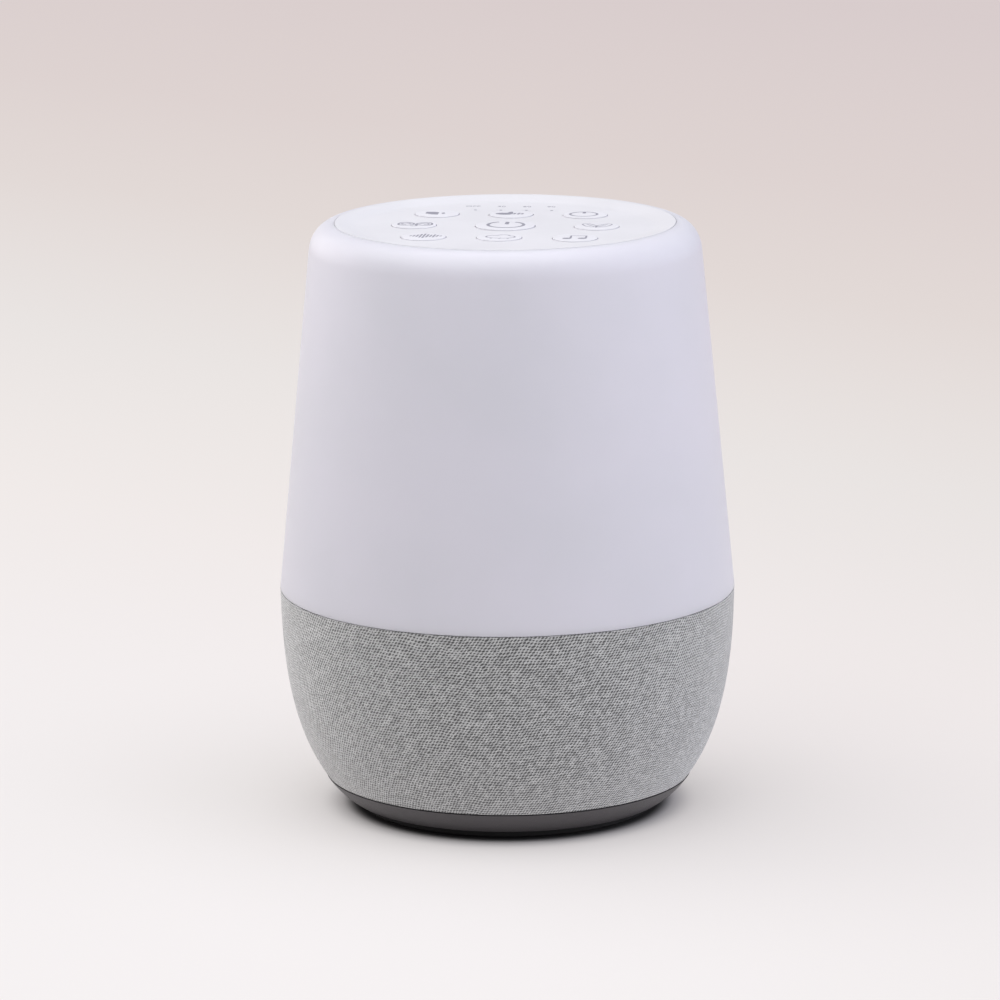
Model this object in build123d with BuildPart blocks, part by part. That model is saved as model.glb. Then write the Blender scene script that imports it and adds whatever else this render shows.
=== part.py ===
"""White noise sound machine with a night light.

A frosted cone stands on a cloth-covered bowl. Nine keys sit in a round panel at the top.
The speaker hangs under the deck between cone and bowl and fires down onto a deflector.
Millimetres, +Z up, origin at the centre of the foot ring's underside, front at -Y.
"""

import os
from math import cos, radians, sin

from build123d import *

os.makedirs("parts", exist_ok=True)

# ---------------------------------------------------------------- driving dimensions

# Outer form, from the table up
foot_gap = 2.2  # underside of the base above the table
base_height = 5.4
sleeve_height = 43.2
seam_height = 0.8  # dark line between sleeve and diffuser
side_height = 77.2  # straight side of the diffuser
shoulder_height = 6.1
seam_radius = 52.0
shoulder_radius = 44.5
shoulder_width = 5.8  # shoulder, from the side in to the crest round the panel
shoulder_fullness = 0.55  # length of the shoulder curve's handles, as a share of its height and width
neck_wall = 1.6  # wall round the panel, under the crest

# Bowl: lean from upright and length of the curve's handles at both ends
bowl_foot_radius = 42.0
bowl_top_lean = 1.8
bowl_foot_lean = 35.9
bowl_top_handle = 9.6
bowl_foot_handle = 16.5

# Walls and clearances
diffuser_wall = 2.0
sleeve_thickness = 0.8
basket_wall = 2.0
base_wall = 2.0
cloth_clearance = 0.3
part_clearance = 0.3  # between curved faces of neighbouring pieces
moving_clearance = 0.3  # between faces that slide past each other
hole_clearance = 0.1  # round a screw or a stake

# Foot ring and base
foot_radius = 34.3
foot_width = 5.5
foot_seat = 0.8  # depth of the groove that holds the ring
foot_chamfer = 0.5
base_underside_radius = 36.8
base_bulge = 0.35
base_line_height = 0.3  # dark line between base and sleeve
base_line_depth = 0.6

# Basket
flange_thickness = 1.8
flange_inner_radius = 29.0
window_columns = 24
window_rows = 4
window_width = 9.0
window_height = 7.4
hoop_height = 1.7
window_start = 2.3  # lowest window above the basket's flange
port_columns = 2  # windows left out of the lowest row, round the power inlet
post_radius = 2.8
post_seat = 4.0  # post's axis inside the basket's wall
post_length = 9.0
web_width = 3.0
base_boss_radius = 2.8
base_boss_height = 5.0

# Deck
deck_thickness = 2.0
deck_clearance = 0.3
seam_recess = 0.6  # deck edge behind the cloth and the diffuser
lip_height = 2.4
lip_width = 1.2
lip_clearance = 0.5
can_inner_radius = 27.2
can_wall = 2.0
can_flange = 1.6
can_opening_radius = 24.2
lead_hole_width = 3.4
lead_hole_height = 2.2
lead_hole_depth = 6.0

# Speaker, from its mounting face up to the back of the magnet
mount_drop = 22.3  # mounting face below the deck's top
speaker_flange_radius = 28.4
speaker_flange_thickness = 1.2
gasket_thickness = 0.5
speaker_basket_depth = 9.8
speaker_basket_wall = 1.0
speaker_throat_radius = 14.5
frame_bore_radius = 8.2
top_plate_thickness = 2.0
top_plate_radius = 14.0
coil_gap_radius = 7.2
magnet_thickness = 5.5
magnet_radius = 16.0
magnet_bore_radius = 8.5
yoke_thickness = 2.5
yoke_radius = 15.0
pole_radius = 5.8
coil_inner_radius = 6.2
coil_wall = 0.6
coil_length = 9.0
cone_edge_radius = 20.0
cone_depth = 6.2
paper_thickness = 0.6
surround_thickness = 0.5
surround_land = 1.2  # flat glued to the cone and to the frame
surround_roll = 3.2
spider_thickness = 0.5
spider_radius = 16.6
spider_seat = 1.2
dust_cap_radius = 7.8
dust_cap_height = 2.6
speaker_window_count = 4
speaker_window_width = 8.0

# Sound deflector
deflector_radius = 28.5
deflector_height = 7.2
deflector_rim = 1.4
deflector_wall = 1.5
deflector_tip_radius = 2.5
deflector_gap = 5.0  # main board to the deflector's rim
deflector_leg_radius = 2.8
deflector_leg_circle = 23.0
deflector_leg_head = 2.6  # leg above the deflector's rim

# Main board and power inlet
board_thickness = 1.6
main_board_lift = 6.2  # board above the base's floor
main_board_radius = 34.5
board_tab_width = 16.0
board_tab_inset = 7.2  # end of the board's tab inside the bowl's side
socket_width = 8.94
socket_height = 3.2
socket_length = 7.35
socket_overhang = 5.4
socket_wall = 0.3
tongue_thickness = 0.7
tongue_width = 6.6
tongue_length = 5.0
bezel_width = 16.4
bezel_height = 8.2
bezel_proud = 2.3  # bezel's face outside the bowl's side
bezel_depth = 8.6
bezel_wall = 0.8
bezel_pocket = 3.5
bezel_web = 1.8
bezel_clearance = 0.15
chip_places = [(0, -16), (14, 12), (-14, 12)]
chip_size = 7.0
chip_height = 1.2
capacitor_places = [(-9, -4), (-2, 5), (9, -5)]
capacitor_radius = 3.2
capacitor_height = 6.5
coil_places = [(7.5, 29.5)]
coil_size = 6.0
coil_height = 3.0

# Light column and night light
column_radius = 11.0
column_wall = 1.6
column_flange_radius = 23.0
column_flange_thickness = 1.6
flare_lean = 86.0  # lean of the flare at its upper end
flare_radius = 21.0
column_top_radius = 33.0
column_boss_radius = 3.0
column_boss_height = 3.0
column_screw_circle = 19.5
column_screw_count = 3
notch_width = 8.4
notch_height = 2.4
lamp_board_lift = 2.2
lamp_board_inner_radius = 25.5
lamp_board_margin = 3.5  # board outside the circle of its stakes
stake_inset = 8.4  # circle of the stakes inside the circle of the deck's screws
stake_radius = 1.2
stake_post_radius = 2.4
stake_height = 0.6  # stake above the lamp board
lamp_led_count = 12
lamp_led_circle = 31.0
lamp_led_length = 3.5
lamp_led_width = 2.8
lamp_led_height = 0.8

# Control panel
panel_proud = 0.1  # edge of the panel above the crest
panel_dish = 1.15  # panel's flat below its edge
panel_dish_width = 6.0
panel_dish_fullness = 0.4  # length of the dish curve's handles, as a share of its width
panel_round = 0.15
panel_thickness = 2.0
panel_clearance = 0.1
ledge_width = 2.4
ledge_thickness = 1.6
hook_width = 6.0
hook_thickness = 1.4
hook_catch = 1.0
hook_height = 0.9
hook_gap = 0.2
panel_boss_radius = 2.6
panel_boss_x = 27.0
panel_boss_y = 10.0

# Keys, their switches and the indicator dots
key_radius = 4.9
power_key_radius = 6.6
key_proud = 0.2
power_key_proud = 0.25
key_edge = 0.15
key_flange_width = 0.7
key_flange_thickness = 0.8
key_stem_radius = 1.5
key_stem_length = 1.5
key_travel = 0.35
row_pitch = 15.8
outer_column_pitch = 17.0
middle_column_pitch = 20.7
switch_size = 6.0
switch_height = 3.5
plunger_radius = 1.7
plunger_proud = 0.8
plunger_depth = 0.9
key_board_radius = 33.0
dot_count = 4
dot_pitch = 5.87
dot_row = 22.2
pipe_radius = 0.75
pipe_collar_radius = 1.0
pipe_collar_height = 0.9
timer_led_size = 1.6
timer_led_height = 0.6

# Cables held inside
ribbon_width = 7.0
ribbon_thickness = 0.8
ribbon_bend = 2.0
ribbon_column_x = 5.0
ribbon_drop_x = 31.2
lead_width = 2.4
lead_thickness = 1.2
speaker_lead_drop_x = -31.6
lamp_lead_x = -28.6
lamp_lead_y = 14.0
plug_height = 4.0
plug_wall = 1.0

# Screws: shank radius, head radius and head height
small_shank = 1.0
small_head = 1.9
head_height = 1.3
large_shank = 1.2
large_head = 2.1
base_screw_circle = 32.0
base_screw_length = 9.0
deck_screw_length = 8.0
board_screw_length = 8.0
column_screw_length = 6.0
speaker_screw_length = 3.2
deflector_screw_length = 13.0
speaker_screw_circle = 26.4
well_wall = 0.9
corner_count = 4  # base, deck and speaker screws, deflector legs, stakes and hooks
corner_angle = 45.0
leg_angle = 0.0
column_screw_angle = 60.0

# ---------------------------------------------------------------- levels and places

base_z = foot_gap
base_floor_z = base_z + base_wall
sleeve_z = base_z + base_height
flange_top_z = sleeve_z + flange_thickness
sleeve_top_z = sleeve_z + sleeve_height
diffuser_z = sleeve_top_z + seam_height
deck_z = diffuser_z - deck_thickness
shoulder_z = diffuser_z + side_height
crest_z = shoulder_z + shoulder_height
crest_radius = shoulder_radius - shoulder_width
neck_radius = crest_radius + neck_wall

panel_edge_z = crest_z + panel_proud
panel_z = panel_edge_z - panel_dish
panel_under_z = panel_z - panel_thickness
ledge_under_z = panel_under_z - ledge_thickness
ledge_radius = crest_radius - ledge_width
key_flange_top_z = panel_under_z - moving_clearance
key_flange_z = key_flange_top_z - key_flange_thickness
plunger_top_z = key_flange_z - key_stem_length
switch_top_z = plunger_top_z - plunger_proud
key_board_top_z = switch_top_z - switch_height
key_board_z = key_board_top_z - board_thickness
column_top_z = key_board_z
flare_z = column_top_z - column_wall - flare_radius * sin(radians(flare_lean))

main_board_z = base_floor_z + main_board_lift
main_board_top_z = main_board_z + board_thickness
port_z = main_board_top_z + socket_height / 2
deflector_z = main_board_top_z + deflector_gap
deflector_top_z = deflector_z + deflector_rim + deflector_height

mount_z = diffuser_z - mount_drop  # upper face of the speaker's flange, under the gasket
can_z = mount_z + gasket_thickness
frame_z = mount_z - speaker_flange_thickness
throat_z = mount_z + speaker_basket_depth
top_plate_z = throat_z
magnet_z = top_plate_z + top_plate_thickness
yoke_z = magnet_z + magnet_thickness
cone_neck_z = frame_z + cone_depth
coil_radius = coil_inner_radius + coil_wall
spider_z = cone_neck_z + paper_thickness

lamp_board_z = diffuser_z + lamp_board_lift
lamp_board_top_z = lamp_board_z + board_thickness

middle_row = [(-middle_column_pitch, 0), (0, 0), (middle_column_pitch, 0)]
far_row = [(x, row_pitch) for x in (-outer_column_pitch, 0, outer_column_pitch)]
near_row = [(x, -row_pitch) for x in (-outer_column_pitch, 0, outer_column_pitch)]
key_names = ["light", "birds", "timer", "fan", "power", "leaf", "waves", "rain", "music"]
key_places = dict(zip(key_names, far_row + middle_row + near_row))
small_key_places = [place for name, place in key_places.items() if name != "power"]
dot_places = [(dot_pitch * (i - (dot_count - 1) / 2), dot_row) for i in range(dot_count)]


def write(part, name):
    """Label a finished piece and write its file."""
    part.label = name
    export_step(part, f"parts/{name}.step")


def level(z):
    """Horizontal plane at height z."""
    return Plane.XY.offset(z)


def rear(y, z):
    """Upright plane at depth y that faces the back, centred at height z."""
    return Plane(origin=(0, y, z), x_dir=(1, 0, 0), z_dir=(0, 1, 0))


def bowl_curve(inset):
    """Side of the bowl, from the seam down to the base, moved inwards by inset."""
    top_lean = radians(bowl_top_lean)
    foot_lean = radians(bowl_foot_lean)
    top = Vector(seam_radius - inset, sleeve_top_z)
    foot = Vector(bowl_foot_radius - inset / cos(foot_lean), sleeve_z)
    top_handle = top - Vector(sin(top_lean), cos(top_lean)) * bowl_top_handle
    foot_handle = foot + Vector(sin(foot_lean), cos(foot_lean)) * bowl_foot_handle
    return Bezier(top, top_handle, foot_handle, foot)


def ring(inner, outer, low, high):
    """Upright ring, added to the part that is being built."""
    with BuildSketch(level(low)) as profile:
        Circle(outer)
        Circle(inner, mode=Mode.SUBTRACT)
    extrude(profile.sketch, amount=high - low)


def drill(radius, low, high, places):
    """Round upright holes at the given places, cut from the part that is being built."""
    with BuildSketch(level(low)) as profile:
        with Locations(*places):
            Circle(radius)
    extrude(profile.sketch, amount=high - low, mode=Mode.SUBTRACT)


def studs(radius, low, high, places):
    """Round upright bosses at the given places."""
    with BuildSketch(level(low)) as profile:
        with Locations(*places):
            Circle(radius)
    extrude(profile.sketch, amount=high - low)


def circle_places(radius, count, start):
    """Places at equal angles on a circle, as points in a horizontal plane."""
    angles = [radians(start + 360 / count * i) for i in range(count)]
    return [(radius * cos(angle), radius * sin(angle)) for angle in angles]


basket_inset = sleeve_thickness + cloth_clearance
wall_inset = basket_inset + basket_wall
post_circle = seam_radius - wall_inset - post_seat
stake_circle = post_circle - stake_inset
lamp_board_radius = stake_circle + lamp_board_margin

port_level = Axis((0, port_z, 0), (1, 0, 0))
port_radius = bowl_curve(0).find_intersection_points(port_level)[0].X
board_tab_reach = port_radius - board_tab_inset
bezel_front = port_radius + bezel_proud
bezel_back = bezel_front - bezel_depth

base_screw_places = circle_places(base_screw_circle, corner_count, corner_angle)
post_places = circle_places(post_circle, corner_count, corner_angle)
speaker_screw_places = circle_places(speaker_screw_circle, corner_count, corner_angle)
deflector_leg_places = circle_places(deflector_leg_circle, corner_count, leg_angle)
column_screw_places = circle_places(column_screw_circle, column_screw_count, column_screw_angle)
stake_places = circle_places(stake_circle, corner_count, corner_angle)
panel_boss_sides = (-panel_boss_x, panel_boss_x)
panel_boss_places = [(x, y) for x in panel_boss_sides for y in (-panel_boss_y, panel_boss_y)]


def screws(places, seat, length, shank, head, upwards):
    """Pan-head screws at the given places, with their heads against the seat."""
    tip = seat + length if upwards else seat - length
    head_end = seat - head_height if upwards else seat + head_height
    with BuildPart() as group:
        with BuildSketch(level(seat)):
            with Locations(*places):
                Circle(shank)
        extrude(amount=tip - seat)
        with BuildSketch(level(seat)):
            with Locations(*places):
                Circle(head)
        extrude(amount=head_end - seat)
    return group.part


# ---------------------------------------------------------------- base

groove_top_z = base_z + foot_seat
well_top_z = sleeve_z
head_seat_z = groove_top_z + head_height + part_clearance

with BuildPart() as foot_ring:
    ring(foot_radius - foot_width, foot_radius, 0, groove_top_z)
    chamfer(foot_ring.edges().group_by(Axis.Z)[0], foot_chamfer)
write(foot_ring.part, "foot_ring")

with BuildPart() as base_pan:
    with BuildSketch(Plane.XZ):
        with BuildLine():
            side_top = Vector(bowl_foot_radius, sleeve_z - base_line_height)
            SagittaArc((base_underside_radius, base_z), side_top, -base_bulge)
            Polyline(
                side_top,
                side_top - (base_line_depth, 0),
                (bowl_foot_radius - base_line_depth, sleeve_z),
                (bowl_foot_radius - base_wall, sleeve_z),
                (base_underside_radius - base_wall, base_floor_z),
                (0, base_floor_z),
                (0, base_z),
                (base_underside_radius, base_z),
            )
        make_face()
    revolve(axis=Axis.Z)
    studs(large_head + hole_clearance + well_wall, base_floor_z, well_top_z, base_screw_places)
    studs(deflector_leg_radius, base_floor_z, main_board_z, deflector_leg_places)
    with BuildSketch(level(base_z)):
        Circle(foot_radius + hole_clearance)
        Circle(foot_radius - foot_width - hole_clearance, mode=Mode.SUBTRACT)
    extrude(amount=foot_seat, mode=Mode.SUBTRACT)
    drill(large_head + hole_clearance, base_z, head_seat_z, base_screw_places)
    drill(large_shank + hole_clearance, base_z, well_top_z, base_screw_places)
    drill(small_shank + hole_clearance, base_floor_z, main_board_z, deflector_leg_places)
write(base_pan.part, "base_pan")

write(
    screws(base_screw_places, head_seat_z, base_screw_length, large_shank, large_head, True),
    "base_screws",
)

# ---------------------------------------------------------------- cloth and its basket

with BuildPart() as fabric_sleeve:
    with BuildSketch(Plane.XZ):
        with BuildLine():
            outside = bowl_curve(0)
            inside = bowl_curve(sleeve_thickness)
            Line(outside @ 0, inside @ 0)
            Line(outside @ 1, inside @ 1)
        make_face()
    revolve(axis=Axis.Z)
    with BuildSketch(rear(0, port_z)):
        SlotOverall(bezel_width + 2 * bezel_clearance, bezel_height + 2 * bezel_clearance)
    extrude(amount=seam_radius, mode=Mode.SUBTRACT)
write(fabric_sleeve.part, "fabric_sleeve")

window_pitch = window_height + hoop_height
column_angle = 360 / window_columns
wall_middle = basket_inset + basket_wall / 2
foot_wall_radius = bowl_foot_radius - wall_middle / cos(radians(bowl_foot_lean))
base_boss_top_z = flange_top_z + base_boss_height
post_z = deck_z - post_length
web_reach = seam_radius - wall_middle - post_circle

with BuildPart() as grille_basket:
    with BuildSketch(Plane.XZ):
        with BuildLine():
            outside = bowl_curve(basket_inset)
            inside = bowl_curve(wall_inset)
            Line(outside @ 0, inside @ 0)
            Line(outside @ 1, inside @ 1)
        make_face()
    revolve(axis=Axis.Z)
    for row in range(window_rows):
        left_out = port_columns if row == 0 else 0
        columns = window_columns - left_out
        first = 90 + (left_out + 1) / 2 * column_angle  # the inlet is at 90 degrees
        with BuildSketch(level(flange_top_z + window_start + row * window_pitch)):
            with PolarLocations(seam_radius, columns, first, columns * column_angle):
                Rectangle(seam_radius - flange_inner_radius, window_width)
        extrude(amount=window_height, mode=Mode.SUBTRACT)
    ring(flange_inner_radius, foot_wall_radius, sleeve_z, flange_top_z)
    studs(base_boss_radius, flange_top_z, base_boss_top_z, base_screw_places)
    drill(large_shank + hole_clearance, sleeve_z, base_boss_top_z, base_screw_places)
    studs(post_radius, post_z, deck_z, post_places)
    with BuildSketch(level(post_z)):
        with PolarLocations(post_circle + web_reach / 2, corner_count, corner_angle):
            Rectangle(web_reach, web_width)
    extrude(amount=post_length)
    drill(large_shank + hole_clearance, post_z, deck_z, post_places)
    with BuildSketch(rear(flange_inner_radius, port_z)):
        SlotOverall(bezel_width + 2 * bezel_clearance, bezel_height + 2 * bezel_clearance)
    extrude(amount=seam_radius, mode=Mode.SUBTRACT)
write(grille_basket.part, "grille_basket")

# ---------------------------------------------------------------- deck

lip_radius = seam_radius - diffuser_wall - lip_clearance
plate_radius = seam_radius - wall_inset - deck_clearance
can_radius = can_inner_radius + can_wall
column_boss_under_z = deck_z - column_screw_length
stake_top_z = lamp_board_top_z + stake_height
lead_z = throat_z - lead_hole_height

with BuildPart() as mid_deck:
    with BuildSketch(level(deck_z)):
        Circle(plate_radius)
    extrude(amount=deck_thickness)
    ring(lip_radius - lip_width, seam_radius - seam_recess, sleeve_top_z, diffuser_z)
    ring(lip_radius - lip_width, lip_radius, sleeve_top_z, diffuser_z + lip_height)
    ring(can_inner_radius, can_radius, can_z, deck_z)
    ring(can_opening_radius, can_radius, can_z, can_z + can_flange)
    studs(column_boss_radius, column_boss_under_z, deck_z, column_screw_places)
    studs(stake_post_radius, diffuser_z, lamp_board_z, stake_places)
    studs(stake_radius, lamp_board_z, stake_top_z, stake_places)
    drill(small_shank + hole_clearance, column_boss_under_z, diffuser_z, column_screw_places)
    drill(small_shank + hole_clearance, can_z, can_z + can_flange, speaker_screw_places)
    drill(large_shank + hole_clearance, deck_z, diffuser_z, post_places)
    with BuildSketch(level(deck_z)):
        with Locations((ribbon_drop_x, 0)):
            Rectangle(ribbon_thickness + 2 * ribbon_bend, notch_width)
        with Locations((lamp_lead_x, lamp_lead_y)):
            Rectangle(lead_thickness + 2 * part_clearance, lead_width + 2 * part_clearance)
    extrude(amount=deck_thickness, mode=Mode.SUBTRACT)
    with BuildSketch(Plane.YZ.offset(-can_inner_radius + can_wall)):
        with Locations((0, lead_z)):
            Rectangle(lead_hole_width, lead_hole_height)
    extrude(amount=-lead_hole_depth, mode=Mode.SUBTRACT)
write(mid_deck.part, "mid_deck")

write(screws(post_places, diffuser_z, deck_screw_length, large_shank, large_head, False), "deck_screws")

# ---------------------------------------------------------------- speaker

speaker_opening_radius = can_opening_radius - part_clearance - speaker_basket_wall
frame_slope = (speaker_opening_radius - speaker_throat_radius) / speaker_basket_depth
spider_seat_z = spider_z + spider_thickness
spider_seat_drop = throat_z - speaker_basket_wall - spider_seat_z
frame_inside = speaker_throat_radius + frame_slope * spider_seat_drop
spider_seat_radius = frame_inside + speaker_basket_wall / 2
speaker_window_z = mount_z + speaker_basket_wall
speaker_window_height = spider_z - speaker_basket_wall - speaker_window_z

with BuildPart() as speaker_gasket:
    ring(can_opening_radius, speaker_flange_radius, mount_z, can_z)
    drill(small_shank + hole_clearance, mount_z, can_z, speaker_screw_places)
write(speaker_gasket.part, "speaker_gasket")

with BuildPart() as speaker_frame:
    with BuildSketch(Plane.XZ):
        with BuildLine():
            Polyline(
                (speaker_opening_radius, frame_z),
                (speaker_flange_radius, frame_z),
                (speaker_flange_radius, mount_z),
                (speaker_opening_radius + speaker_basket_wall, mount_z),
                (speaker_throat_radius + speaker_basket_wall, throat_z),
                (frame_bore_radius, throat_z),
                (frame_bore_radius, throat_z - speaker_basket_wall),
                (speaker_throat_radius, throat_z - speaker_basket_wall),
                (speaker_opening_radius, mount_z),
                close=True,
            )
        make_face()
    revolve(axis=Axis.Z)
    with BuildSketch(level(speaker_window_z)):
        with PolarLocations(can_opening_radius, speaker_window_count):
            Rectangle(can_opening_radius, speaker_window_width)
    extrude(amount=speaker_window_height, mode=Mode.SUBTRACT)
    spider_seat_top_z = spider_seat_z + speaker_basket_wall
    ring(spider_radius - spider_seat, spider_seat_radius, spider_seat_z, spider_seat_top_z)
    drill(small_shank + hole_clearance, frame_z, mount_z, speaker_screw_places)
write(speaker_frame.part, "speaker_frame")

with BuildPart() as speaker_top_plate:
    ring(coil_gap_radius, top_plate_radius, top_plate_z, magnet_z)
write(speaker_top_plate.part, "speaker_top_plate")

with BuildPart() as speaker_magnet:
    ring(magnet_bore_radius, magnet_radius, magnet_z, yoke_z)
write(speaker_magnet.part, "speaker_magnet")

with BuildPart() as speaker_yoke:
    with BuildSketch(level(top_plate_z)):
        Circle(pole_radius)
    extrude(amount=yoke_z - top_plate_z)
    with BuildSketch(level(yoke_z)):
        Circle(yoke_radius)
    extrude(amount=yoke_thickness)
write(speaker_yoke.part, "speaker_yoke")

with BuildPart() as voice_coil:
    ring(coil_inner_radius, coil_radius, cone_neck_z, cone_neck_z + coil_length)
write(voice_coil.part, "voice_coil")

with BuildPart() as speaker_cone:
    with BuildSketch(Plane.XZ):
        with BuildLine():
            Polyline(
                (coil_inner_radius, cone_neck_z - paper_thickness),
                (coil_inner_radius, cone_neck_z),
                (coil_radius + paper_thickness, cone_neck_z),
                (cone_edge_radius - surround_land, frame_z + paper_thickness),
                (cone_edge_radius, frame_z + paper_thickness),
                (cone_edge_radius, frame_z),
                (cone_edge_radius - surround_land, frame_z),
                (coil_radius, cone_neck_z - paper_thickness),
                close=True,
            )
        make_face()
    revolve(axis=Axis.Z)
write(speaker_cone.part, "speaker_cone")

cone_run = cone_edge_radius - surround_land - coil_radius
cone_slope = (cone_depth - paper_thickness) / cone_run
cap_z = cone_neck_z - paper_thickness - cone_slope * (dust_cap_radius - coil_radius)

with BuildPart() as dust_cap:
    with BuildSketch(Plane.XZ):
        with BuildLine():
            outside = ThreePointArc(
                (-dust_cap_radius, cap_z),
                (0, cap_z - dust_cap_height),
                (dust_cap_radius, cap_z),
            )
            inner_radius = dust_cap_radius - paper_thickness
            inside = ThreePointArc(
                (-inner_radius, cap_z),
                (0, cap_z - dust_cap_height + paper_thickness),
                (inner_radius, cap_z),
            )
            Line(outside @ 0, inside @ 0)
            Line(outside @ 1, inside @ 1)
        make_face()
        split(bisect_by=Plane.YZ, keep=Keep.TOP)
    revolve(axis=Axis.Z)
write(dust_cap.part, "dust_cap")

roll_inner = cone_edge_radius
roll_outer = cone_edge_radius + surround_roll
roll_middle = (roll_inner + roll_outer) / 2
roll_z = frame_z - surround_thickness

with BuildPart() as speaker_surround:
    with BuildSketch(Plane.XZ):
        with BuildLine():
            ThreePointArc(
                (roll_inner, roll_z),
                (roll_middle, roll_z - surround_roll / 2),
                (roll_outer, roll_z),
            )
            Polyline(
                (roll_outer, roll_z),
                (roll_outer + surround_land, roll_z),
                (roll_outer + surround_land, frame_z),
                (roll_outer - surround_thickness, frame_z),
            )
            ThreePointArc(
                (roll_outer - surround_thickness, frame_z),
                (roll_middle, roll_z - surround_roll / 2 + surround_thickness),
                (roll_inner + surround_thickness, frame_z),
            )
            Polyline(
                (roll_inner + surround_thickness, frame_z),
                (roll_inner - surround_land, frame_z),
                (roll_inner - surround_land, roll_z),
                (roll_inner, roll_z),
            )
        make_face()
    revolve(axis=Axis.Z)
write(speaker_surround.part, "speaker_surround")

with BuildPart() as speaker_spider:
    ring(coil_radius + hole_clearance, spider_radius, spider_z, spider_z + spider_thickness)
write(speaker_spider.part, "speaker_spider")

write(
    screws(speaker_screw_places, frame_z, speaker_screw_length, small_shank, small_head, True),
    "speaker_screws",
)

# ---------------------------------------------------------------- deflector and main board

leg_top_z = deflector_z + deflector_rim + deflector_leg_head

with BuildPart() as sound_deflector:
    with BuildSketch(Plane.XZ):
        with BuildLine():
            rim_top = (deflector_radius, deflector_z + deflector_rim)
            rim_bottom = (deflector_radius - deflector_wall, deflector_z)
            tip = (deflector_tip_radius, deflector_top_z)
            under_tip = (deflector_tip_radius, deflector_top_z - deflector_wall)
            TangentArc(rim_top, tip, tangent=(-1, 0))
            TangentArc(rim_bottom, under_tip, tangent=(-1, 0))
            Polyline(tip, (0, tip[1]), (0, under_tip[1]), under_tip)
            Polyline(rim_bottom, (deflector_radius, deflector_z), rim_top)
        make_face()
    revolve(axis=Axis.Z)
    studs(deflector_leg_radius, main_board_top_z, leg_top_z, deflector_leg_places)
    drill(small_shank + hole_clearance, main_board_top_z, leg_top_z, deflector_leg_places)
write(sound_deflector.part, "sound_deflector")

write(
    screws(deflector_leg_places, leg_top_z, deflector_screw_length, small_shank, small_head, False),
    "deflector_screws",
)

with BuildPart() as main_board:
    with BuildSketch(level(main_board_z)):
        Circle(main_board_radius)
        with Locations((0, board_tab_reach / 2)):
            Rectangle(board_tab_width, board_tab_reach)
        with Locations(*base_screw_places):
            Circle(base_boss_radius + part_clearance, mode=Mode.SUBTRACT)
        with Locations(*deflector_leg_places):
            Circle(small_shank + hole_clearance, mode=Mode.SUBTRACT)
    extrude(amount=board_thickness)
write(main_board.part, "main_board")

socket_front = board_tab_reach + socket_overhang

with BuildPart() as usb_socket:
    with BuildSketch(rear(socket_front - socket_length, port_z)):
        SlotOverall(socket_width, socket_height)
    extrude(amount=socket_length)
    with BuildSketch(rear(socket_front, port_z)):
        SlotOverall(socket_width - 2 * socket_wall, socket_height - 2 * socket_wall)
    extrude(amount=-tongue_length, mode=Mode.SUBTRACT)
    with BuildSketch(rear(socket_front - tongue_length, port_z)):
        Rectangle(tongue_width, tongue_thickness)
    extrude(amount=tongue_length - socket_wall)
write(usb_socket.part, "usb_socket")

with BuildPart() as port_bezel:
    with BuildSketch(rear(bezel_back, port_z)):
        SlotOverall(bezel_width, bezel_height)
    extrude(amount=bezel_front - bezel_back)
    with BuildSketch(rear(bezel_front, port_z)):
        SlotOverall(bezel_width - 2 * bezel_wall, bezel_height - 2 * bezel_wall)
    extrude(amount=-bezel_pocket, mode=Mode.SUBTRACT)
    with BuildSketch(rear(bezel_back, port_z)):
        SlotOverall(bezel_width - 2 * bezel_wall, bezel_height - 2 * bezel_wall)
    extrude(amount=bezel_front - bezel_back - bezel_pocket - bezel_web, mode=Mode.SUBTRACT)
    with BuildSketch(rear(bezel_back, port_z)):
        SlotOverall(socket_width + 2 * part_clearance, socket_height + 2 * part_clearance)
    extrude(amount=bezel_front - bezel_back, mode=Mode.SUBTRACT)
write(port_bezel.part, "port_bezel")

with BuildPart() as board_parts:
    with BuildSketch(level(main_board_top_z)):
        with Locations(*chip_places):
            Rectangle(chip_size, chip_size)
    extrude(amount=chip_height)
    with BuildSketch(level(main_board_top_z)):
        with Locations(*capacitor_places):
            Circle(capacitor_radius)
    extrude(amount=capacitor_height)
    with BuildSketch(level(main_board_top_z)):
        with Locations(*coil_places):
            Rectangle(coil_size, coil_size)
    extrude(amount=coil_height)
write(board_parts.part, "board_parts")

# ---------------------------------------------------------------- light column and night light

flare_end = Vector(
    column_radius + flare_radius * (1 - cos(radians(flare_lean))),
    flare_z + flare_radius * sin(radians(flare_lean)),
)
flare_inner_end = Vector(
    column_radius + flare_radius - (flare_radius + column_wall) * cos(radians(flare_lean)),
    flare_z + (flare_radius + column_wall) * sin(radians(flare_lean)),
)
column_bore = column_radius - column_wall
column_boss_z = column_top_z - column_boss_height
column_seat_z = diffuser_z + column_flange_thickness

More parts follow.
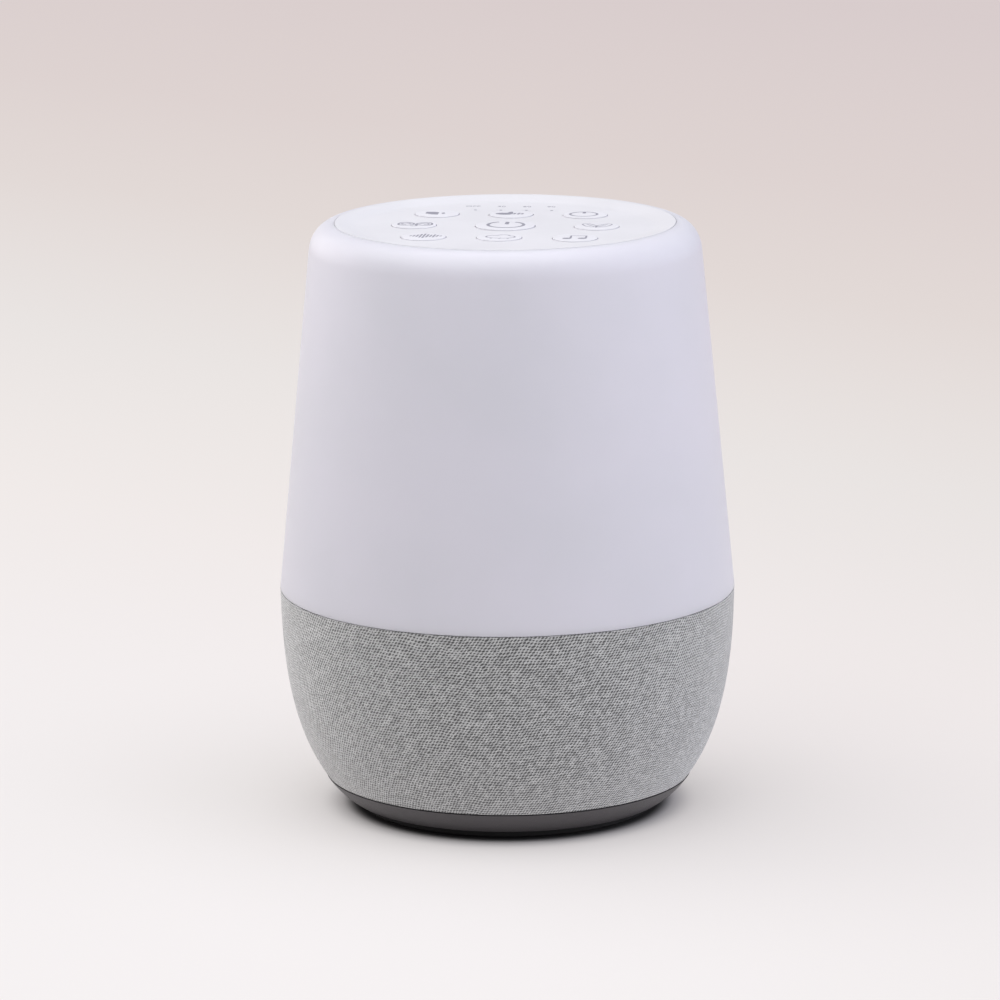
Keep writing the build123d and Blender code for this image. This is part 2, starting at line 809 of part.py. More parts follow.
with BuildPart() as light_column:
    with BuildSketch(Plane.XZ):
        with BuildLine():
            Line((column_bore, diffuser_z), (column_bore, flare_z))
            inside = TangentArc((column_bore, flare_z), flare_inner_end, tangent=(0, 1))
            outside = TangentArc((column_radius, flare_z), flare_end, tangent=(0, 1))
            Line(inside @ 1, outside @ 1)
            Polyline(
                (column_radius, flare_z),
                (column_radius, column_seat_z),
                (column_flange_radius, column_seat_z),
                (column_flange_radius, diffuser_z),
                (column_bore, diffuser_z),
            )
        make_face()
    revolve(axis=Axis.Z)
    ring(flare_end.X - column_wall, column_top_radius, column_top_z - column_wall, column_top_z)
    studs(column_boss_radius, column_boss_z, column_top_z, panel_boss_places)
    drill(small_shank + hole_clearance, column_boss_z, column_top_z, panel_boss_places)
    drill(small_shank + hole_clearance, diffuser_z, column_seat_z, column_screw_places)
    with BuildSketch(level(diffuser_z)):
        with Locations((column_flange_radius / 2, 0)):
            Rectangle(column_flange_radius, notch_width)
    extrude(amount=notch_height, mode=Mode.SUBTRACT)
write(light_column.part, "light_column")

write(
    screws(column_screw_places, column_seat_z, column_screw_length, small_shank, small_head, False),
    "column_screws",
)

with BuildPart() as led_board:
    ring(lamp_board_inner_radius, lamp_board_radius, lamp_board_z, lamp_board_top_z)
    drill(stake_radius + hole_clearance, lamp_board_z, lamp_board_top_z, stake_places)
write(led_board.part, "led_board")

with BuildPart() as lamp_leds:
    with BuildSketch(level(lamp_board_top_z)):
        with PolarLocations(lamp_led_circle, lamp_led_count):
            Rectangle(lamp_led_length, lamp_led_width)
    extrude(amount=lamp_led_height)
write(lamp_leds.part, "lamp_leds")

# ---------------------------------------------------------------- diffuser and control panel

side_slope = (seam_radius - shoulder_radius) / side_height


def diffuser_curve(inset, crest):
    """Side and shoulder of the diffuser, from the crest down to the seam, moved inwards by inset."""
    shoulder = Vector(shoulder_radius - inset, shoulder_z)
    side_way = Vector(-side_slope, 1).normalized()
    start = shoulder + side_way * (crest.Y - shoulder_z) * shoulder_fullness
    end = crest + Vector(shoulder.X - crest.X, 0) * shoulder_fullness
    Line((seam_radius - inset, diffuser_z), shoulder)
    return Bezier(shoulder, start, end, crest)


with BuildPart() as diffuser_shell:
    with BuildSketch(Plane.XZ):
        with BuildLine():
            crest = Vector(crest_radius, crest_z)
            inner_crest = Vector(neck_radius, crest_z - diffuser_wall)
            diffuser_curve(0, crest)
            diffuser_curve(diffuser_wall, inner_crest)
            Line((seam_radius, diffuser_z), (seam_radius - diffuser_wall, diffuser_z))
            Polyline(
                crest,
                (crest_radius, panel_under_z),
                (ledge_radius, panel_under_z),
                (ledge_radius, ledge_under_z),
                (neck_radius, ledge_under_z),
                inner_crest,
            )
        make_face()
    revolve(axis=Axis.Z)
write(diffuser_shell.part, "diffuser_shell")

panel_radius = crest_radius - panel_clearance
hook_outer = ledge_radius - hook_gap
hook_top_z = ledge_under_z - hook_gap

with BuildPart() as control_panel:
    with BuildSketch(Plane.XZ):
        with BuildLine():
            edge = Vector(panel_radius, panel_edge_z)
            flat = Vector(panel_radius - panel_dish_width, panel_z)
            handle = Vector(panel_dish_width * panel_dish_fullness, 0)
            Bezier(edge, edge - handle, flat + handle, flat)
            Polyline(
                flat,
                (0, panel_z),
                (0, panel_under_z),
                (panel_radius, panel_under_z),
                edge,
            )
        make_face()
    revolve(axis=Axis.Z)
    fillet(control_panel.edges().filter_by(GeomType.CIRCLE).group_by(Axis.Z)[-1], panel_round)
    drill(key_radius + moving_clearance, panel_under_z, panel_z, small_key_places)
    drill(power_key_radius + moving_clearance, panel_under_z, panel_z, [key_places["power"]])
    drill(pipe_radius + hole_clearance, panel_under_z, panel_z, dot_places)
    studs(panel_boss_radius, key_board_top_z, panel_under_z, panel_boss_places)
    drill(small_shank + hole_clearance, key_board_top_z, panel_under_z, panel_boss_places)
    for turn in range(corner_count):
        hook_angle = corner_angle + 360 / corner_count * turn
        with BuildSketch(Plane.XZ.rotated((0, 0, hook_angle)).offset(-hook_width / 2)):
            with BuildLine():
                Polyline(
                    (hook_outer, panel_under_z),
                    (hook_outer, hook_top_z),
                    (hook_outer + hook_catch, hook_top_z),
                    (hook_outer, hook_top_z - hook_height),
                    (hook_outer - hook_thickness, hook_top_z - hook_height),
                    (hook_outer - hook_thickness, panel_under_z),
                    close=True,
                )
            make_face()
        extrude(amount=hook_width)
write(control_panel.part, "control_panel")

# ---------------------------------------------------------------- keys and their board

for name, place in key_places.items():
    radius = power_key_radius if name == "power" else key_radius
    proud = power_key_proud if name == "power" else key_proud
    with BuildPart() as key:
        studs(radius, key_flange_z, panel_z + proud, [place])
        fillet(key.edges().group_by(Axis.Z)[-1], key_edge)
        studs(radius + key_flange_width, key_flange_z, key_flange_top_z, [place])
        studs(key_stem_radius, plunger_top_z, key_flange_z, [place])
    write(key.part, f"key_{name}")
    with BuildPart() as plunger:
        studs(plunger_radius, switch_top_z - plunger_depth, plunger_top_z, [place])
    write(plunger.part, f"plunger_{name}")

with BuildPart() as switch_bases:
    with BuildSketch(level(key_board_top_z)):
        with Locations(*key_places.values()):
            Rectangle(switch_size, switch_size)
    extrude(amount=switch_height)
    bore_z = switch_top_z - plunger_depth - key_travel - moving_clearance
    drill(plunger_radius + moving_clearance, bore_z, switch_top_z, list(key_places.values()))
write(switch_bases.part, "switch_bases")

with BuildPart() as key_board:
    with BuildSketch(level(key_board_z)):
        Circle(key_board_radius)
        with Locations(*panel_boss_places):
            Circle(small_shank + hole_clearance, mode=Mode.SUBTRACT)
    extrude(amount=board_thickness)
write(key_board.part, "key_board")

write(
    screws(panel_boss_places, column_boss_z, board_screw_length, small_shank, small_head, True),
    "key_board_screws",
)

timer_led_top_z = key_board_top_z + timer_led_height
with BuildPart() as timer_leds:
    with BuildSketch(level(key_board_top_z)):
        with Locations(*dot_places):
            Rectangle(timer_led_size, timer_led_size)
    extrude(amount=timer_led_height)
write(timer_leds.part, "timer_leds")

with BuildPart() as timer_light_pipes:
    studs(pipe_radius, timer_led_top_z + part_clearance, panel_z, dot_places)
    studs(pipe_collar_radius, panel_under_z - pipe_collar_height, panel_under_z, dot_places)
write(timer_light_pipes.part, "timer_light_pipes")

# ---------------------------------------------------------------- cables held inside

plug_top_z = main_board_top_z + plug_height
column_plug_z = key_board_z - plug_height


def flat_cable(route, bend, width, thickness, y):
    """Flat cable along a route in the upright plane at depth y, with rounded bends."""
    with BuildPart() as cable:
        with BuildSketch(Plane.XZ.offset(-y - width / 2)):
            with BuildLine():
                FilletPolyline(*route, radius=bend)
            trace(line_width=thickness)
        extrude(amount=width)
    return cable.part


ribbon_lay_z = diffuser_z + ribbon_thickness / 2 + part_clearance
ribbon = flat_cable(
    [
        (ribbon_column_x, column_plug_z),
        (ribbon_column_x, ribbon_lay_z),
        (ribbon_drop_x, ribbon_lay_z),
        (ribbon_drop_x, plug_top_z),
    ],
    ribbon_bend,
    ribbon_width,
    ribbon_thickness,
    0,
)
write(ribbon, "ribbon_cable")

lead_drop = throat_z - lead_z + lead_thickness / 2
frame_outside = speaker_throat_radius + speaker_basket_wall + frame_slope * lead_drop
speaker_lead = flat_cable(
    [
        (-frame_outside - hole_clearance, lead_z),
        (speaker_lead_drop_x, lead_z),
        (speaker_lead_drop_x, plug_top_z),
    ],
    lead_thickness,
    lead_width,
    lead_thickness,
    0,
)
write(speaker_lead, "speaker_lead")

with BuildPart() as lamp_lead:
    with BuildSketch(level(plug_top_z)):
        with Locations((lamp_lead_x, lamp_lead_y)):
            Rectangle(lead_thickness, lead_width)
    extrude(amount=lamp_board_z - plug_top_z)
write(lamp_lead.part, "lamp_lead")

with BuildPart() as cable_plugs:
    with BuildSketch(level(main_board_top_z)):
        with Locations((ribbon_drop_x, 0)):
            Rectangle(ribbon_thickness + 2 * plug_wall, ribbon_width + 2 * plug_wall)
        with Locations((speaker_lead_drop_x, 0), (lamp_lead_x, lamp_lead_y)):
            Rectangle(lead_thickness + 2 * plug_wall, lead_width + 2 * plug_wall)
    extrude(amount=plug_height)
    with BuildSketch(level(column_plug_z)):
        with Locations((ribbon_column_x, 0)):
            Rectangle(ribbon_thickness + 2 * plug_wall, ribbon_width + 2 * plug_wall)
    extrude(amount=plug_height)
write(cable_plugs.part, "cable_plugs")
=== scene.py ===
"""Looks of a white noise sound machine with a night light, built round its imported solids.

A frosted cone stands on a bowl wrapped in grey cloth. Nine pressed keys with printed
pictograms sit in a round panel at the top. Lengths in this file are millimetres until MM.
"""

from math import copysign, cos, pi, radians, sin

import bmesh
import bpy
from mathutils import Euler, Matrix, Vector
from mathutils.geometry import interpolate_bezier


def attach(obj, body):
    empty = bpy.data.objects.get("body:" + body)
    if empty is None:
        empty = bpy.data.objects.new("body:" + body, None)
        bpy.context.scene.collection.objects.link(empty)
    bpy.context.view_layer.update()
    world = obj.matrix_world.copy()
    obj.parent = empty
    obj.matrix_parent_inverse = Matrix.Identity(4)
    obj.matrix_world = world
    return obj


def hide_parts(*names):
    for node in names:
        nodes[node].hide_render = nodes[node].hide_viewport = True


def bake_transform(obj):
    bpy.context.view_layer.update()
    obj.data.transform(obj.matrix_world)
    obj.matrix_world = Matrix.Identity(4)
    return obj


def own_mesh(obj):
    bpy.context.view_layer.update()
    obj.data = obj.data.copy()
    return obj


MM = 0.001

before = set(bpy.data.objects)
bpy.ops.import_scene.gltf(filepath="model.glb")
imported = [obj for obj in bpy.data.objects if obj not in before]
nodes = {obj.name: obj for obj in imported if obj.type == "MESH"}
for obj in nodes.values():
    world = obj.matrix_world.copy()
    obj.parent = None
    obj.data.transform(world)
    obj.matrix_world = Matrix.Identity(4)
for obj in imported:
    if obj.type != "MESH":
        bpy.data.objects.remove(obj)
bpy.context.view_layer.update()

# ---------------------------------------------------------------- sizes, as in the solids

SEAM_RADIUS = 52.0
SLEEVE_TOP = 50.8
SLEEVE_FOOT = 7.6
BOWL_FOOT_RADIUS = 42.0
CLOTH_THICKNESS = 0.8
DIFFUSER_FOOT = 51.6
DIFFUSER_WALL = 2.0
LIP_FOOT = SLEEVE_TOP + 0.15  # thin lip of the diffuser that hides the deck's edge
LIP_WIDTH = 0.45
SHOULDER_RADIUS = 44.5
SHOULDER = 128.8
CREST_RADIUS = 38.7
CREST = 134.9
NECK_RADIUS = 40.3
LEDGE_RADIUS = 36.3
LEDGE_TOP = 131.85  # where the panel rests
LEDGE_UNDER = 130.25
PANEL_TOP = 133.85
KEY_RADIUS = 4.9
POWER_KEY_RADIUS = 6.6
KEY_FLANGE_WIDTH = 0.7
KEY_EDGE = 0.15
KEY_SKIN = 0.12  # lacquer and edge of a key outside its solid
KEY_TOP = 134.05
POWER_KEY_TOP = 134.1
KEY_FLANGE_TOP = 131.55
KEY_FOOT = 130.75
KEY_STEM_RADIUS = 1.5
KEY_STEM_FOOT = 129.25
PIPE_RADIUS = 0.83
PIPE_CORE_RADIUS = 0.75
PIPE_COLLAR_RADIUS = 1.0
PIPE_COLLAR_FOOT = 130.95
PIPE_FOOT = 125.85
PORT_HEIGHT = 13.6
PORT_WIDTH = 16.7
PORT_DEPTH = 8.5


# ---------------------------------------------------------------- making shapes

CREASE = 38  # degrees from which an edge is kept sharp


def finish_shape(shape, name, body, material):
    """The bmesh as a piece, smooth but for its sharp edges. It rides on a body, if given."""
    mesh = bpy.data.meshes.new(name)
    shape.to_mesh(mesh)
    shape.free()
    mesh.polygons.foreach_set("use_smooth", [True] * len(mesh.polygons))
    mesh.set_sharp_from_angle(angle=radians(CREASE))
    mesh.materials.append(material)
    piece = bpy.data.objects.new(name, mesh)
    bpy.context.scene.collection.objects.link(piece)
    if body:
        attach(piece, body)
    return piece


def bezier(start, start_handle, end_handle, end, count):
    """Points of a curve in the upright plane, without its last one."""
    flat = [Vector((x, z, 0)) for x, z in (start, start_handle, end_handle, end)]
    return [tuple(point.xy) for point in interpolate_bezier(*flat, count + 1)[:-1]]


def turned(outline, steps=144, closed=True, place=(0, 0)):
    """Outline of (radius, height) corners spun about an upright axis.

    A third number rounds a corner by that much. An outline that starts and ends on the axis
    isn't closed.
    """
    shape = bmesh.new()
    corners = [shape.verts.new((corner[0] * MM, 0, corner[1] * MM)) for corner in outline]
    for pair in zip(corners, corners[1:]):
        shape.edges.new(pair)
    if closed:
        shape.edges.new((corners[-1], corners[0]))
    for vertex, corner in zip(corners, outline):
        if len(corner) == 3:
            bmesh.ops.bevel(
                shape,
                geom=[vertex],
                offset=corner[2] * MM,
                offset_type="OFFSET",
                segments=4,
                profile=0.5,
                affect="VERTICES",
                material=-1,
            )
    bmesh.ops.spin(
        shape,
        geom=shape.verts[:] + shape.edges[:],
        cent=(0, 0, 0),
        axis=(0, 0, 1),
        angle=2 * pi,
        steps=steps,
        use_merge=True,
    )
    bmesh.ops.remove_doubles(shape, verts=shape.verts, dist=1e-7)
    bmesh.ops.dissolve_degenerate(shape, edges=shape.edges, dist=1e-8)
    bmesh.ops.recalc_face_normals(shape, faces=shape.faces)
    bmesh.ops.translate(shape, verts=shape.verts, vec=(place[0] * MM, place[1] * MM, 0))
    return shape


# ---------------------------------------------------------------- making finishes


class Value:
    """A shader socket that can be reckoned with: each sum, product or test adds its Math node."""

    def __init__(self, finish, socket):
        self.finish = finish
        self.socket = socket

    def maths(self, operation, *values):
        inputs = dict(enumerate(values))
        return self.finish.node("ShaderNodeMath", {"operation": operation}, inputs)

    def __add__(self, other):
        return self.maths("ADD", self, other)

    def __radd__(self, other):
        return self.maths("ADD", other, self)

    def __sub__(self, other):
        return self.maths("SUBTRACT", self, other)

    def __rsub__(self, other):
        return self.maths("SUBTRACT", other, self)

    def __mul__(self, other):
        return self.maths("MULTIPLY", self, other)

    def __rmul__(self, other):
        return self.maths("MULTIPLY", other, self)

    def __truediv__(self, other):
        return self.maths("DIVIDE", self, other)

    def __mod__(self, other):
        return self.maths("FLOORED_MODULO", self, other)

    def floor(self):
        return self.maths("FLOOR", self)

    def root(self):
        return self.maths("SQRT", self)

    def between(self, low, high, start=0.0, end=1.0):
        """Start below low, end above high, and a smooth way between them."""
        return self.finish.node(
            "ShaderNodeMapRange",
            {"interpolation_type": "SMOOTHSTEP"},
            {"Value": self, "From Min": low, "From Max": high, "To Min": start, "To Max": end},
        )


class Finish:
    """The nodes of a material or of the world, in the making."""

    def __init__(self, owner):
        self.owner = owner
        owner.use_nodes = True
        self.tree = owner.node_tree
        self.tree.nodes.clear()

    def node(self, kind, settings=None, inputs=None, output=0):
        """Adds a node: its settings first, then the values or links of its sockets."""
        made = self.tree.nodes.new(kind)
        for name, value in (settings or {}).items():
            if name == "stops":
                ramp = made.color_ramp.elements
                while len(ramp) < len(value):
                    ramp.new(1.0)
                for element, (position, colour) in zip(ramp, value):
                    element.position = position
                    element.color = (*colour, 1)
            else:
                setattr(made, name, value)
        for name, value in (inputs or {}).items():
            if isinstance(value, Value):
                self.tree.links.new(value.socket, made.inputs[name])
            else:
                made.inputs[name].default_value = value
        return Value(self, made.outputs[output]) if made.outputs else None

    def place(self):
        """Where the surface is, in the part's own frame."""
        return self.node("ShaderNodeTexCoord", output="Object")

    def split(self, vector):
        """The three numbers of a vector."""
        made = self.node("ShaderNodeSeparateXYZ", inputs={"Vector": vector}).socket.node
        return [Value(self, made.outputs[axis]) for axis in "XYZ"]

    def noise(self, scale, detail=3.0):
        """Soft random pattern from 0 to 1, with scale in cells a metre."""
        return self.node(
            "ShaderNodeTexNoise",
            {"noise_dimensions": "3D"},
            {"Vector": self.place(), "Scale": scale, "Detail": detail, "Roughness": 0.55},
        )

    def mix(self, share, first, second):
        """First colour where share is 0, second where it is 1."""
        colours = {6: first, 7: second}
        for key, colour in colours.items():
            if not isinstance(colour, Value):
                colours[key] = (*colour, 1)
        return self.node(
            "ShaderNodeMix",
            {"data_type": "RGBA", "clamp_factor": True},
            {0: share, **colours},
            output=2,
        )

    def bump(self, height, strength, distance):
        """Normal that follows a height, whose full range is distance in metres."""
        return self.node(
            "ShaderNodeBump",
            inputs={"Height": height, "Strength": strength, "Distance": distance},
        )

    def shade(self, **inputs):
        """The Principled shader that ends a material. Names of sockets have underscores here."""
        named = {name.replace("_", " "): value for name, value in inputs.items()}
        for name, value in named.items():
            if name.endswith("Color") and not isinstance(value, Value):
                named[name] = (*value, 1)
        shader = self.node("ShaderNodeBsdfPrincipled", inputs=named)
        self.node("ShaderNodeOutputMaterial", inputs={"Surface": shader})
        return self.owner


def shade_of(red, green, blue):
    """Linear colour of a shade written as on a screen, from 0 to 255."""
    return tuple(
        c / 12.92 if c <= 0.04045 else ((c + 0.055) / 1.055) ** 2.4
        for c in (red / 255, green / 255, blue / 255)
    )


def darker(colour, share):
    """The share that is left of a linear colour."""
    return tuple(c * share for c in colour)


def moulded(name, colour, roughness, grain=0.02, cloud=0.04):
    """Moulded plastic or rubber: faint clouding of its colour, fine texture on its skin."""
    finish = Finish(bpy.data.materials.new(name))
    clouds = finish.noise(38.0, 4.0)
    fine = finish.noise(9000.0, 2.0)
    base = finish.mix(clouds.between(0.3, 0.7), darker(colour, 1 - cloud), colour)
    rough = roughness + 0.1 * (finish.noise(420.0) - 0.5)
    normal = finish.bump(fine, 1.0, grain * MM)
    return finish.shade(Base_Color=base, Roughness=rough, Normal=normal)


def plated(name, colour, roughness):
    """Metal with a fine brushed or rolled skin."""
    finish = Finish(bpy.data.materials.new(name))
    grain = finish.noise(2500.0)
    base = finish.mix(finish.noise(120.0), darker(colour, 0.82), colour)
    rough = roughness + 0.18 * (grain - 0.5)
    normal = finish.bump(grain, 1.0, 0.006 * MM)
    return finish.shade(Base_Color=base, Metallic=1.0, Roughness=rough, Normal=normal)


def frosted_diffuser():
    """Milky plastic of the cone: light goes a little way in, and its skin is finely blasted."""
    finish = Finish(bpy.data.materials.new("frosted_diffuser"))
    clouds = finish.noise(24.0)
    milk = finish.mix(clouds.between(0.3, 0.7), shade_of(214, 213, 222), shade_of(218, 216, 226))
    blasting = finish.noise(7000.0, 2.0)
    normal = finish.bump(blasting, 1.0, 0.012 * MM)
    rough = 0.4 + 0.08 * (clouds - 0.5)
    return finish.shade(
        Base_Color=milk,
        Roughness=rough,
        Normal=normal,
        Subsurface_Weight=0.35,
        Subsurface_Radius=(1.0, 0.95, 1.0),
        Subsurface_Scale=4 * MM,
    )


CLOTH_COLUMNS = 400  # pits in one row round the sleeve
CLOTH_COLUMN = 0.82
CLOTH_ROW = 0.62
ROW_DRIFT = 3.6  # rows by which the weave wanders up and down
PIT_HALF_LENGTH = 0.43
PIT_HALF_WIDTH = 0.21
PIT_LEAN = radians(27)


def speaker_cloth():
    """Grey woven cloth: light threads round small slanted pits, no two pits quite the same. The
    pits are near black: the dark gaps of the weave with painted shade in them.
    """
    finish = Finish(bpy.data.materials.new("speaker_cloth"))
    along, up, _ = finish.split(finish.node("ShaderNodeUVMap", {"uv_map": "cloth"}))
    drift = finish.noise(75.0, 2.0) - 0.5
    wander = finish.noise(650.0, 1.0) - 0.5
    row = up + ROW_DRIFT * drift + 0.7 * wander
    row_number = row.floor()
    column = along + 0.5 * (row_number % 2.0) + 0.9 * wander
    column_number = column.floor()
    x = (column - column_number - 0.5) * CLOTH_COLUMN
    y = (row - row_number - 0.5) * CLOTH_ROW
    cell = finish.node("ShaderNodeCombineXYZ", inputs={"X": column_number, "Y": row_number})
    chance = finish.node("ShaderNodeTexWhiteNoise", {"noise_dimensions": "2D"}, {"Vector": cell})
    size = 0.7 + 0.5 * chance
    length = (x * cos(PIT_LEAN) + y * sin(PIT_LEAN)) / (PIT_HALF_LENGTH * size)
    width = (y * cos(PIT_LEAN) - x * sin(PIT_LEAN)) / (PIT_HALF_WIDTH * size)
    pit = (length * length + width * width).root().between(0.4, 1.4, 1.0, 0.0)
    fibre = finish.noise(5200.0)
    melange = finish.noise(900.0, 2.0)
    thread = finish.mix(melange.between(0.3, 0.7), shade_of(174, 175, 175), shade_of(197, 198, 197))
    # pits near black: the dark gaps of the weave, deepened by painted shade
    base = finish.mix(pit, thread, shade_of(22, 23, 23))
    height = (1.0 - pit) + 0.25 * fibre
    normal = finish.bump(height, 0.9, 0.16 * MM)
    return finish.shade(
        Base_Color=base,
        Roughness=0.9,
        Normal=normal,
        Sheen_Weight=1.0,
        Sheen_Roughness=0.6,
    )


white_panel = moulded("panel_white_satin", shade_of(218, 217, 222), 0.52, grain=0.006)
white_key = moulded("key_white_satin", shade_of(222, 221, 227), 0.5, grain=0.005)
ink = moulded("pictogram_grey_ink", shade_of(146, 145, 157), 0.5, grain=0.004)
dark_base = moulded("base_dark_grey", shade_of(77, 74, 76), 0.42, grain=0.03)
black_rubber = moulded("foot_rubber", shade_of(20, 19, 19), 0.75, grain=0.03)
inner_black = moulded("inner_black_moulding", shade_of(52, 50, 52), 0.55)
inner_white = moulded("reflector_white", shade_of(238, 238, 236), 0.4)
board_green = moulded("solder_mask_green", shade_of(36, 92, 62), 0.32, grain=0.01, cloud=0.2)
chip_black = moulded("chip_black", shade_of(40, 40, 42), 0.5)
led_yellow = moulded("led_phosphor", shade_of(238, 226, 170), 0.3, grain=0.004)
clear_pipe = moulded("light_pipe_clear", shade_of(222, 221, 228), 0.3, grain=0.002)
zinc = plated("screw_zinc", shade_of(196, 198, 200), 0.34)
ferrite = moulded("magnet_ferrite", shade_of(78, 78, 80), 0.62, grain=0.06, cloud=0.2)
copper = plated("coil_copper", shade_of(200, 130, 84), 0.36)
paper = moulded("cone_paper", shade_of(62, 60, 58), 0.85, grain=0.12, cloud=0.25)
foam = moulded("surround_rubber", shade_of(46, 46, 48), 0.7, grain=0.02)
cable = moulded("cable_grey", shade_of(168, 168, 168), 0.5, grain=0.01)
socket_steel = plated("socket_steel", shade_of(206, 207, 210), 0.22)
frosted = frosted_diffuser()
cloth = speaker_cloth()

FINISHES = {
    white_panel: ["control_panel"],
    inner_black: ["mid_deck", "grille_basket", "sound_deflector", "switch_bases", "cable_plugs"],
    dark_base: ["base_pan"],
    black_rubber: ["foot_ring", "speaker_gasket"],
    inner_white: ["light_column"],
    board_green: ["main_board", "led_board", "key_board"],
    chip_black: ["board_parts"],
    led_yellow: ["lamp_leds", "timer_leds"],
    zinc: [
        "base_screws",
        "deck_screws",
        "column_screws",
        "speaker_screws",
        "deflector_screws",
        "key_board_screws",
        "speaker_frame",
        "speaker_top_plate",
        "speaker_yoke",
    ],
    ferrite: ["speaker_magnet"],
    copper: ["voice_coil"],
    paper: ["speaker_cone", "dust_cap"],
    cable: ["ribbon_cable", "speaker_lead", "lamp_lead"],
    socket_steel: ["usb_socket"],
}
FINISHES[inner_black] += [name for name in nodes if name.startswith("plunger_")]

for material, names in FINISHES.items():
    for name in names:
        nodes[name].data.materials.clear()
        nodes[name].data.materials.append(material)

# ---------------------------------------------------------------- diffuser

SIDE_SLOPE = (SEAM_RADIUS - SHOULDER_RADIUS) / (SHOULDER - DIFFUSER_FOOT)
FULLNESS = 0.55


def shoulder(inset, crest_radius, crest):
    """Corners of the shoulder's curve, moved inwards by inset, without the crest."""
    rise = (crest - SHOULDER) * FULLNESS
    foot = SHOULDER_RADIUS - inset
    reach = (foot - crest_radius) * FULLNESS
    return bezier(
        (foot, SHOULDER),
        (foot - SIDE_SLOPE * rise, SHOULDER + rise),
        (crest_radius + reach, crest),
        (crest_radius, crest),
        16,
    )


inner_shoulder = shoulder(DIFFUSER_WALL, NECK_RADIUS, CREST - DIFFUSER_WALL)
outline = [(SEAM_RADIUS, LIP_FOOT, 0.15)]
outline += shoulder(0, CREST_RADIUS, CREST)
outline += [
    (CREST_RADIUS, CREST),
    (CREST_RADIUS, LEDGE_TOP),
    (LEDGE_RADIUS, LEDGE_TOP),
    (LEDGE_RADIUS, LEDGE_UNDER),
    (NECK_RADIUS, LEDGE_UNDER),
    (NECK_RADIUS, CREST - DIFFUSER_WALL),
]
outline += inner_shoulder[::-1]
outline += [
    (SEAM_RADIUS - DIFFUSER_WALL, DIFFUSER_FOOT),
    (SEAM_RADIUS - LIP_WIDTH, DIFFUSER_FOOT),
    (SEAM_RADIUS - LIP_WIDTH, LIP_FOOT),
]
diffuser = finish_shape(turned(outline, 192), "diffuser", "housing", frosted)
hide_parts("diffuser_shell")

# ---------------------------------------------------------------- keys and their pictograms

KEY_COLUMN = 17.0
OUTER_KEY_COLUMN = 20.7
KEY_ROW = 15.8
KEY_PLACES = {
    "light": (-KEY_COLUMN, KEY_ROW),
    "birds": (0, KEY_ROW),
    "timer": (KEY_COLUMN, KEY_ROW),
    "fan": (-OUTER_KEY_COLUMN, 0),
    "power": (0, 0),
    "leaf": (OUTER_KEY_COLUMN, 0),
    "waves": (-KEY_COLUMN, -KEY_ROW),
    "rain": (0, -KEY_ROW),
    "music": (KEY_COLUMN, -KEY_ROW),
}
PICTOGRAM_SHIFTS = {  # to the right, so that each drawing sits in the middle of its key
    "light": -0.6,
    "birds": -0.5,
    "timer": -0.4,
    "fan": 0.2,
    "power": 0.1,
    "leaf": 0.0,
    "waves": 0.3,
    "rain": 0.3,
    "music": 0.0,
}
PICTOGRAM_LIFT = 0.5  # towards the far edge
INK_HEIGHT = 0.02  # of a flat patch, above and below its middle
FLATTENING = 0.1  # thickness of an inked line as a share of its width


def around(centre, width, height, count=12, start=0.0, sweep=360.0):
    """Points round an oval or an arc of it, from start over sweep, in degrees."""
    steps = count if sweep == 360.0 else count - 1
    turns = [radians(start + sweep * i / steps) for i in range(count)]
    return [
        (centre[0] + width / 2 * cos(turn), centre[1] + height / 2 * sin(turn)) for turn in turns
    ]


def stroke(points, width=0.5, closed=False, smooth=False):
    """Inked line through points."""
    return {"points": points, "width": width, "closed": closed, "smooth": smooth}


def patch(points, smooth=True):
    """Inked area inside points."""
    return {"points": points, "width": 0, "closed": True, "smooth": smooth}


def printed(name, marks, place, height, body):
    """Marks of flat ink on a key or the panel, centred on a place, at a height."""
    joined = bmesh.new()
    for mark in marks:
        curve = bpy.data.curves.new(name, "CURVE")
        if mark["width"]:
            curve.dimensions = "3D"
            curve.bevel_depth = mark["width"] / 2 * MM
            curve.bevel_resolution = 2
            curve.use_fill_caps = True
        else:
            curve.dimensions = "2D"
            curve.fill_mode = "BOTH"
            curve.extrude = INK_HEIGHT / FLATTENING * MM
        curve.resolution_u = 6
        spline = curve.splines.new("BEZIER")
        spline.bezier_points.add(len(mark["points"]) - 1)
        handles = "AUTO" if mark["smooth"] else "VECTOR"
        for point, (x, y) in zip(spline.bezier_points, mark["points"]):
            point.co = (x * MM, y * MM, 0)
            point.handle_left_type = handles
            point.handle_right_type = handles
        spline.use_cyclic_u = mark["closed"]
        holder = bpy.data.objects.new(name, curve)
        mesh = bpy.data.meshes.new_from_object(holder)
        joined.from_mesh(mesh)
        bpy.data.objects.remove(holder)
        bpy.data.curves.remove(curve)
        bpy.data.meshes.remove(mesh)
    bmesh.ops.remove_doubles(joined, verts=joined.verts, dist=1e-7)
    bmesh.ops.scale(joined, verts=joined.verts, vec=(1, 1, FLATTENING))
    centre = (place[0] * MM, place[1] * MM, height * MM)
    bmesh.ops.translate(joined, verts=joined.verts, vec=centre)
    piece = finish_shape(joined, name, body, ink)


def mirrored(points):
    """Points with left and right changed over."""
    return [(-x, y) for x, y in points]


def bars(heights, pitch):
    """Upright strokes side by side, centred."""
    first = -pitch * (len(heights) - 1) / 2
    return [
        stroke([(first + i * pitch, -h / 2), (first + i * pitch + 0.3, h / 2)], 0.45)
        for i, h in enumerate(heights)
    ]


